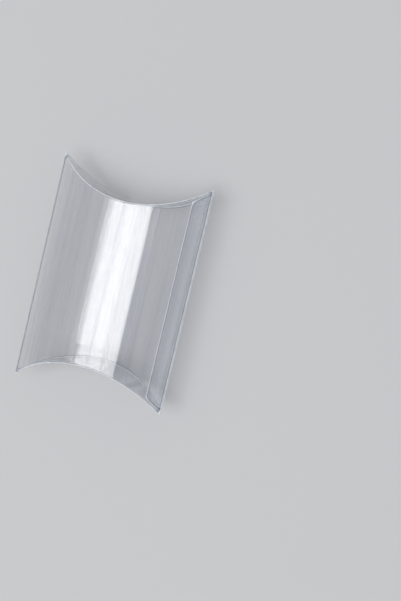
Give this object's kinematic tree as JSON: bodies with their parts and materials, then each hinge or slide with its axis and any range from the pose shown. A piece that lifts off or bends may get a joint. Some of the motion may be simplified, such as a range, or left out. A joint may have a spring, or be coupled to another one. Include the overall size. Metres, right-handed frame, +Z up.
{
  "type": "clear plastic pillow box",
  "caption": "Clear film pillow box: two curved panels joined at straight side folds, closed at each end by a concave inner flap and a hinged outer flap with a thumb notch.",
  "frame": {"origin": "middle of the underside: the lowest line of the back panel, half way along the box", "axes": "+X across the box to the side with the glue tab, +Y along the side folds to the top end, +Z up through the front panel's crown"},
  "size_m": [0.08, 0.116, 0.032],
  "materials": {
    "film": "clear stiff film, polished, see-through"
  },
  "bodies": {
    "case": {"sleeve": "film", "top_inner_flap": "film", "bottom_inner_flap": "film"},
    "top_flap": {"top_outer_flap": "film"},
    "bottom_flap": {"bottom_outer_flap": "film"}
  },
  "joints": [
    {"name": "top_flap_hinge", "type": "hinge", "parent": "case", "child": "top_flap", "pos_m": [0, 0.042, 0.032], "axis": [1, 0, 0], "range_deg": [0, 90]},
    {"name": "bottom_flap_hinge", "type": "hinge", "parent": "case", "child": "bottom_flap", "pos_m": [0, -0.042, 0.032], "axis": [-1, 0, 0], "range_deg": [0, 90]}
  ]
}
